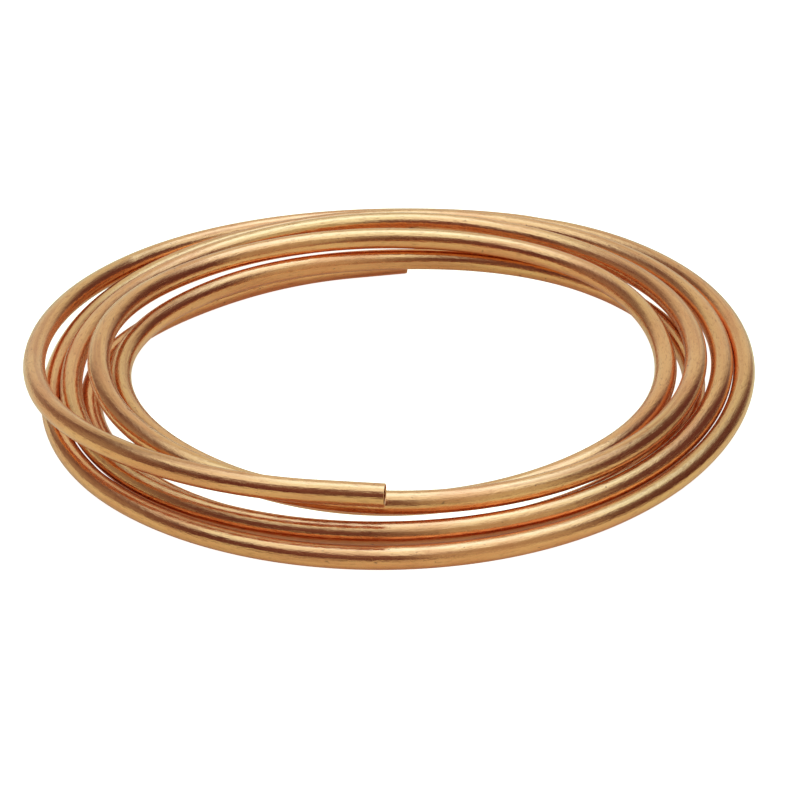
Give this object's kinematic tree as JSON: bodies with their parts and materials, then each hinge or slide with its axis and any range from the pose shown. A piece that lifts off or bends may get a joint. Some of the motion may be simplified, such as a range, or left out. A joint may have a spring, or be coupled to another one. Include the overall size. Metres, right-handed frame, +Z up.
{
  "type": "copper tube coil",
  "caption": "Loose flat coil of soft copper tube, round hollow section, wound as one continuous length with two square-cut ends.",
  "frame": {"origin": "on the floor, under the middle of the coil's box", "axes": "+Z up out of the floor the coil lies on; -Y is the front, where the upper cut end lies on the turns; +X is to the right seen from the front"},
  "size_m": [0.4212, 0.4278, 0.0498],
  "materials": {
    "copper": "bare drawn copper, bright, lightly handled"
  },
  "bodies": {
    "root": {"tube": "copper"}
  },
  "joints": []
}
